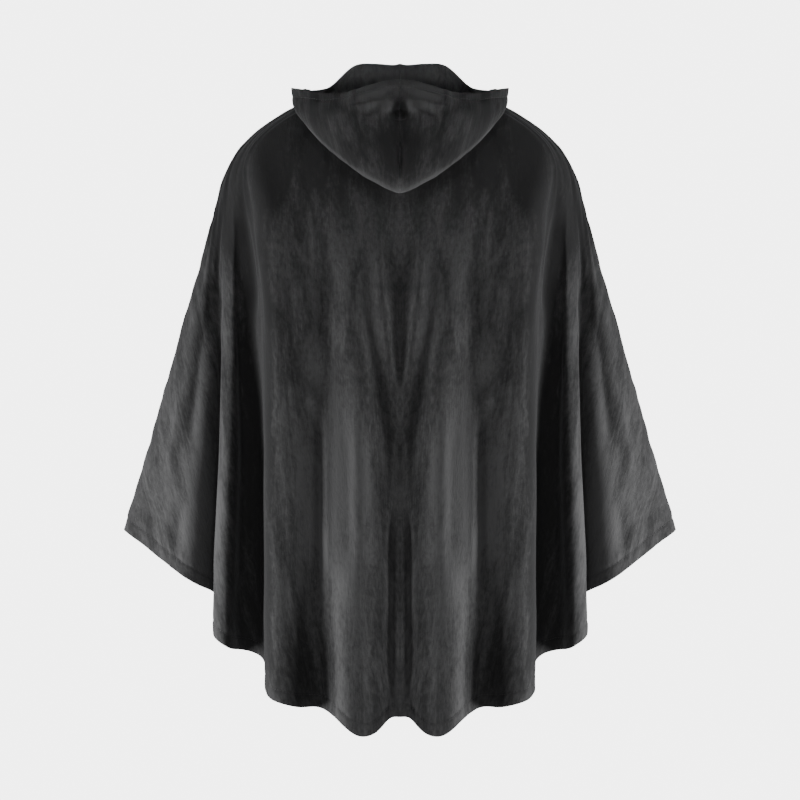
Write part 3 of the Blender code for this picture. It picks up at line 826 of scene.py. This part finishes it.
class Nodes:
    """Short ways to add and join the nodes of one material."""

    def __init__(self, name):
        self.material = bpy.data.materials.new(name)
        self.material.use_nodes = True
        self.tree = self.material.node_tree
        self.shader = self.tree.nodes["Principled BSDF"]

    def add(self, kind, values=(), **settings):
        node = self.tree.nodes.new(kind)
        for key, value in settings.items():
            setattr(node, key, value)
        for key, value in dict(values).items():
            node.inputs[key].default_value = value
        return node

    def link(self, source, target):
        self.tree.links.new(source, target)

    def finish(self, colour, roughness=None, normal=None, **values):
        """The material, its shader linked to these outputs and set to these values."""
        shader = self.shader.inputs
        for key, source in (("Base Color", colour), ("Roughness", roughness), ("Normal", normal)):
            if source:
                self.link(source, shader[key])
        for key, value in values.items():
            shader[key.replace("_", " ")].default_value = value
        return self.material

    def cloth(self):
        return self.add("ShaderNodeUVMap", uv_map="cloth").outputs["UV"]

    def spot(self):
        return self.add("ShaderNodeTexCoord").outputs["Object"]

    def place(self, source, size):
        """Coordinates in which one unit is the size given, in metres."""
        mapping = self.add("ShaderNodeMapping", {"Scale": tuple(1 / s for s in size)})
        self.link(source, mapping.inputs["Vector"])
        return mapping.outputs["Vector"]

    def noise(self, source, size, detail, roughness=0.55, distortion=0.0):
        values = {"Scale": 1.0, "Detail": detail, "Roughness": roughness, "Distortion": distortion}
        texture = self.add("ShaderNodeTexNoise", values)
        self.link(self.place(source, size), texture.inputs["Vector"])
        return texture.outputs["Fac"]

    def spread(self, source, low, high, to_low=0.0, to_high=1.0):
        """A value's range from low to high, spread smoothly over another range."""
        values = {"From Min": low, "From Max": high, "To Min": to_low, "To Max": to_high}
        node = self.add("ShaderNodeMapRange", values, interpolation_type="SMOOTHSTEP")
        self.link(source, node.inputs["Value"])
        return node.outputs["Result"]

    def sum(self, first, second, share=1.0):
        """first + share * second."""
        node = self.add("ShaderNodeMath", {1: share}, operation="MULTIPLY_ADD")
        self.link(second, node.inputs[0])
        self.link(first, node.inputs[2])
        return node.outputs["Value"]

    def mix(self, factor, low, high):
        node = self.add("ShaderNodeMix", data_type="RGBA")
        for key, value in (("A", low), ("B", high)):
            socket = next(s for s in node.inputs if s.name == key and s.type == "RGBA")
            socket.default_value = (*value, 1)
        self.link(factor, node.inputs["Factor"])
        return next(s for s in node.outputs if s.type == "RGBA")

    def bump(self, height, distance, strength, normal=None):
        node = self.add("ShaderNodeBump", {"Distance": distance, "Strength": strength})
        self.link(height, node.inputs["Height"])
        if normal:
            self.link(normal, node.inputs["Normal"])
        return node.outputs["Normal"]


def darker(tint, share=DARKER):
    return tuple(share * c for c in tint)


@cache
def velvet():
    """Short pile, brushed lengthwise, in long uneven patches of random tone, with each piece's painted light
    and shade on top.
    """
    looks = bpy.context.scene.cloak_velvet
    nodes = Nodes("velvet_pile")
    cloth = nodes.cloth()
    wide, long = looks.patch_width, looks.patch_length
    patches = nodes.noise(cloth, (wide, long, 1), 5.0, 0.6, 0.6)
    mottle = nodes.noise(cloth, (wide / 5, long / 12, 1), 4.0, 0.65, 0.3)
    strokes = nodes.noise(cloth, (1.6 * MM, 22 * MM, 1), 3.0, 0.6)
    tufts = nodes.noise(cloth, (looks.pile, looks.pile * 1.6, 1), 2.0, 0.6)
    pile_and_painted_shading = nodes.spread(patches, 0.3, 0.72, 0.28, 0.72)
    pile_and_painted_shading = nodes.sum(pile_and_painted_shading, nodes.spread(mottle, 0.25, 0.75, -0.5, 0.5), MOTTLE)
    pile_and_painted_shading = nodes.sum(pile_and_painted_shading, nodes.spread(strokes, 0.25, 0.75, -0.5, 0.5), STROKES)
    # the piece's painted light and shade, added to the pile's tone
    painted_shading = nodes.add("ShaderNodeAttribute", attribute_name="painted_shading").outputs["Fac"]
    pile_and_painted_shading = nodes.sum(pile_and_painted_shading, painted_shading, PAINTED_SHADING)
    tone = nodes.sum(pile_and_painted_shading, nodes.spread(tufts, 0.3, 0.7, -0.5, 0.5), TUFTS)
    lean = nodes.bump(pile_and_painted_shading, 1.2 * MM, 0.5)
    return nodes.finish(
        nodes.mix(nodes.spread(tone, 0.0, 1.0), looks.dark, looks.light),
        nodes.spread(pile_and_painted_shading, 0.0, 1.0, 0.95, 0.72),
        nodes.bump(tufts, 0.25 * MM, 0.6, lean),
        Specular_IOR_Level=0.25,
        Sheen_Weight=looks.sheen,
        Sheen_Roughness=looks.sheen_spread,
        Sheen_Tint=(0.86, 0.87, 0.90, 1),
    )


@cache
def backing():
    """The knitted wrong side: fine ribs down the cloth, matt and a little uneven."""
    looks = bpy.context.scene.cloak_velvet
    nodes = Nodes("velvet_backing")
    cloth = nodes.cloth()
    rib = nodes.place(cloth, (3.52 * MM, 3.52 * MM, 1))
    wave = nodes.add("ShaderNodeTexWave", {"Scale": 1.0, "Distortion": 0.6, "Detail": 1.0})
    nodes.link(rib, wave.inputs["Vector"])
    loops = nodes.noise(cloth, (0.9 * MM, 0.6 * MM, 1), 2.0)
    patch = nodes.noise(cloth, (30 * MM, 60 * MM, 1), 4.0)
    knit = nodes.sum(wave.outputs["Fac"], loops, 0.8)
    tone = nodes.sum(nodes.spread(knit, 0.2, 1.6, 0.2, 0.8), nodes.spread(patch, 0.3, 0.7, -0.3, 0.3))
    colour = nodes.mix(tone, darker(looks.backing), looks.backing)
    roughness, normal = nodes.spread(patch, 0.2, 0.8, 0.78, 0.92), nodes.bump(knit, 0.2 * MM, 0.7)
    shine = {"Specular_IOR_Level": 0.2, "Sheen_Weight": 0.15, "Sheen_Roughness": 0.6}
    return nodes.finish(colour, roughness, normal, **shine)


@cache
def sewing_thread():
    """Spun polyester thread, twisted, a little glossier than the pile."""
    nodes = Nodes("sewing_thread")
    tint = bpy.context.scene.cloak_thread.tint
    twist = nodes.noise(nodes.spot(), (0.25 * MM,) * 3, 2.0)
    colour = nodes.mix(nodes.spread(twist, 0.3, 0.7), darker(tint), tint)
    roughness, normal = nodes.spread(twist, 0.3, 0.7, 0.45, 0.62), nodes.bump(twist, 0.06 * MM, 0.8)
    return nodes.finish(colour, roughness, normal, Sheen_Weight=0.1)


@cache
def lacquered_wire():
    """Black lacquer on steel wire, rubbed through a little in scattered spots."""
    nodes = Nodes("black_lacquer")
    spot = nodes.spot()
    rub = nodes.noise(spot, (1.5 * MM,) * 3, 4.0, 0.6)
    grain = nodes.noise(spot, (0.2 * MM,) * 3, 2.0)
    colour = nodes.mix(nodes.spread(rub, 0.6, 0.75), (0.012, 0.012, 0.013), (0.16, 0.155, 0.15))
    roughness, normal = nodes.spread(rub, 0.3, 0.8, 0.28, 0.5), nodes.bump(grain, 0.03 * MM, 0.5)
    return nodes.finish(colour, roughness, normal, Metallic=0.85)


@cache
def floor_paint():
    """Pale matt floor with a faint unevenness."""
    nodes = Nodes("pale_floor")
    tint = bpy.context.scene.cloak_stage.floor_tint
    cloud = nodes.noise(nodes.spot(), (0.4, 0.4, 0.4), 5.0)
    return nodes.finish(nodes.mix(cloud, darker(tint, 0.96), tint), Roughness=0.8)


# Each panel's cut before sewing, in metres: the rectangle that it is cut from, and its flat area.
BACK_CUT = (1.52, 0.92, 0.735)
FRONT_CUT = (0.72, 0.88, 0.368)


class CLOAK_OT_body(Operator):
    """Builds the back and the two fronts on the frame's fold lines"""

    bl_idname = "cloak.body"
    bl_label = "Back and Fronts"

    def execute(self, context):
        body = Body()
        on_the_right = {name: mirrored(crease) for name, crease in FRONT_CREASES.items()}
        panels = (
            ("back", body.right_seam, body.left_seam, BACK_GRID, 0, BACK_CREASES, 1, BACK_CUT),
            ("front_right", body.start, body.right_seam, FRONT_GRID, -1, on_the_right, -1, FRONT_CUT),
            ("front_left", body.left_seam, body.end, FRONT_GRID, 1, FRONT_CREASES, -1, FRONT_CUT),
        )
        for panel in panels:
            make_panel(body, *panel)
        return {"FINISHED"}


class CLOAK_OT_hood(Operator):
    """Builds the two halves of the hood, lying on the back"""

    bl_idname = "cloak.hood"
    bl_label = "Hood"

    def execute(self, context):
        hood = Hood(Body())
        make_hood_half("hood_left", hood, 1)
        make_hood_half("hood_right", hood, -1)
        return {"FINISHED"}


class CLOAK_OT_clasp(Operator):
    """Gives the hook and eye their lacquer"""

    bl_idname = "cloak.clasp"
    bl_label = "Hook and Eye"

    def execute(self, context):
        for name in ("hook", "eye"):
            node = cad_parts[name]
            node.data.materials.clear()
            node.data.materials.append(lacquered_wire())
        return {"FINISHED"}


def add_light(name, lamp, stage):
    data = bpy.data.lights.new(name, "AREA")
    data.energy = getattr(stage, lamp.source) * lamp.share
    data.shape = "RECTANGLE"
    data.size, data.size_y = lamp.size
    data.spread = math.radians(lamp.spread)
    light = add_object(name, data)
    light.location = lamp.place
    light.rotation_euler = (Vector(lamp.target) - light.location).to_track_quat("-Z", "Y").to_euler()


class CLOAK_OT_stage(Operator):
    """Sets the floor, the soft lights and the camera behind the cloak"""

    bl_idname = "cloak.stage"
    bl_label = "Floor, Lights and Camera"

    def execute(self, context):
        stage = context.scene.cloak_stage
        bm = bmesh.new()
        bmesh.ops.create_circle(bm, cap_ends=True, segments=128, radius=stage.floor_radius)
        bmesh.ops.translate(bm, verts=bm.verts, vec=(0, 0, -stage.floor_drop))
        floor = add_object("floor", mesh_of(bm, "floor"))
        floor.data.materials.append(floor_paint())
        for name, lamp in LAMPS.items():
            add_light(name, lamp, stage)
        self.light_room(context.scene)
        self.add_camera(context.scene, stage)
        return {"FINISHED"}

    def light_room(self, scene):
        """A white room as the camera sees it, dimmer as a light."""
        world = bpy.data.worlds.new("white_room")
        scene.world = world
        world.use_nodes = True
        tree = world.node_tree
        seen = tree.nodes["Background"]
        lit = tree.nodes.new("ShaderNodeBackground")
        for node, strength in ((seen, ROOM_SEEN), (lit, ROOM_LIGHT)):
            node.inputs["Color"].default_value = (1, 1, 1, 1)
            node.inputs["Strength"].default_value = strength
        path = tree.nodes.new("ShaderNodeLightPath")
        mix = tree.nodes.new("ShaderNodeMixShader")
        link = tree.links.new
        link(path.outputs["Is Camera Ray"], mix.inputs["Fac"])
        link(lit.outputs["Background"], mix.inputs[1])
        link(seen.outputs["Background"], mix.inputs[2])
        link(mix.outputs["Shader"], tree.nodes["World Output"].inputs["Surface"])

    def add_camera(self, scene, stage):
        data = bpy.data.cameras.new("camera")
        data.sensor_width = 36
        data.lens = data.sensor_width * stage.camera_distance / stage.picture_width
        camera = add_object("camera", data)
        camera.location = (0, stage.camera_distance, stage.camera_height)
        camera.rotation_euler = (math.pi / 2, 0, math.pi)
        scene.camera = camera


OPERATORS = (CLOAK_OT_body, CLOAK_OT_hood, CLOAK_OT_clasp, CLOAK_OT_stage)
GROUPS = {
    "cloak_cloth": CLOAK_PG_cloth,
    "cloak_velvet": CLOAK_PG_velvet,
    "cloak_thread": CLOAK_PG_thread,
    "cloak_stage": CLOAK_PG_stage,
}


class CLOAK_PT_panel(Panel):
    bl_idname = "CLOAK_PT_panel"
    bl_label = "Hooded Cloak"
    bl_space_type = "VIEW_3D"
    bl_region_type = "UI"
    bl_category = "Cloak"

    def draw(self, context):
        for operator in OPERATORS:
            self.layout.operator(operator.bl_idname)
        for name, group in GROUPS.items():
            box = self.layout.box()
            for key in group.__annotations__:
                box.prop(getattr(context.scene, name), key)


def register():
    for name, group in GROUPS.items():
        bpy.utils.register_class(group)
        setattr(bpy.types.Scene, name, PointerProperty(type=group))
    for operator in OPERATORS:
        bpy.utils.register_class(operator)
    bpy.utils.register_class(CLOAK_PT_panel)


def unregister():
    bpy.utils.unregister_class(CLOAK_PT_panel)
    for operator in reversed(OPERATORS):
        bpy.utils.unregister_class(operator)
    for name, group in GROUPS.items():
        delattr(bpy.types.Scene, name)
        bpy.utils.unregister_class(group)


def main():
    register()
    bpy.ops.cloak.body()
    bpy.ops.cloak.hood()
    bpy.ops.cloak.clasp()
    bpy.ops.cloak.stage()


if __name__ == "__main__":
    main()
